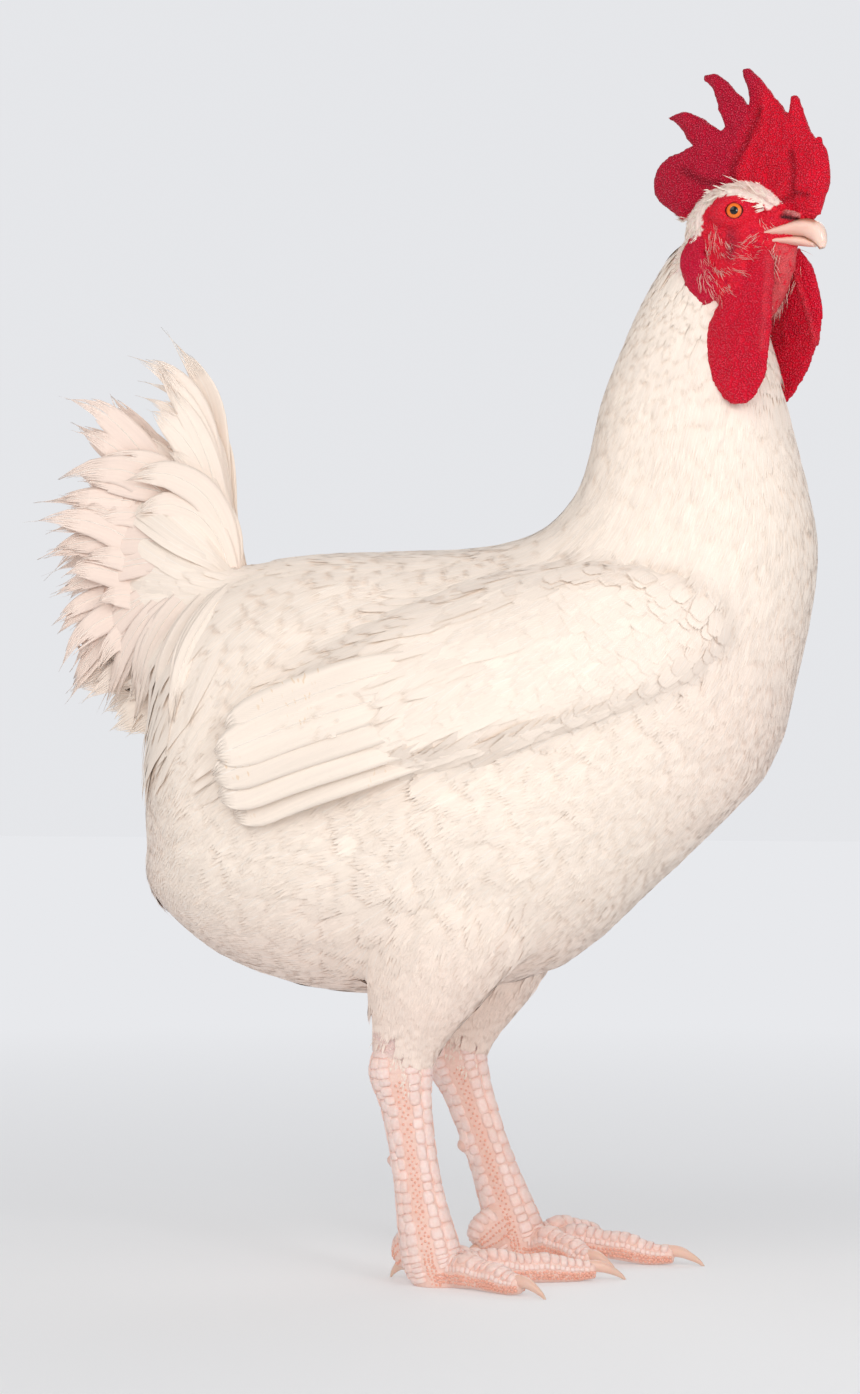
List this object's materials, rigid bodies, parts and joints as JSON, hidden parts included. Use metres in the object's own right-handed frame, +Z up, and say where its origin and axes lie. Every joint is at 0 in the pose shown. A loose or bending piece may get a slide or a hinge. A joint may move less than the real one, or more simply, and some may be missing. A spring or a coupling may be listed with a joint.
{
  "type": "rooster",
  "caption": "Large white rooster standing still with its head turned to its right, tall single comb, long wattles, folded wings and a short upright fan of tail feathers.",
  "frame": {"origin": "middle of the footprint of the whole bird, on the floor", "axes": "+X towards the bird's front, +Y towards its left side, +Z up"},
  "size_m": [0.415, 0.2116, 0.62],
  "materials": {
    "plumage": "soft cream-white feathers",
    "comb_skin": "grained deep red skin",
    "face_skin": "wrinkled bare red skin",
    "leg_skin": "scaled pink skin",
    "horn": "smooth pale horn",
    "eye": "wet orange eye"
  },
  "bodies": {
    "root": {"beak_lower": "horn", "beak_upper": "horn", "claw_back_left": "horn", "claw_back_right": "horn", "claw_inner_left": "horn", "claw_inner_right": "horn", "claw_middle_left": "horn", "claw_middle_right": "horn", "claw_outer_left": "horn", "claw_outer_right": "horn", "comb": "comb_skin", "ear_lobe_left": "comb_skin", "ear_lobe_right": "comb_skin", "eye_left": "eye", "eye_right": "eye", "flight_feathers_left": "plumage", "flight_feathers_right": "plumage", "head": "face_skin", "neck": "plumage", "rump": "plumage", "shank_left": "leg_skin", "shank_right": "leg_skin", "sickle_left": "plumage", "sickle_right": "plumage", "tail": "plumage", "thigh_left": "plumage", "thigh_right": "plumage", "toe_back_left": "leg_skin", "toe_back_right": "leg_skin", "toe_inner_left": "leg_skin", "toe_inner_right": "leg_skin", "toe_middle_left": "leg_skin", "toe_middle_right": "leg_skin", "toe_outer_left": "leg_skin", "toe_outer_right": "leg_skin", "trunk": "plumage", "wattle_left": "comb_skin", "wattle_right": "comb_skin", "wing_left": "plumage", "wing_right": "plumage"}
  },
  "joints": []
}
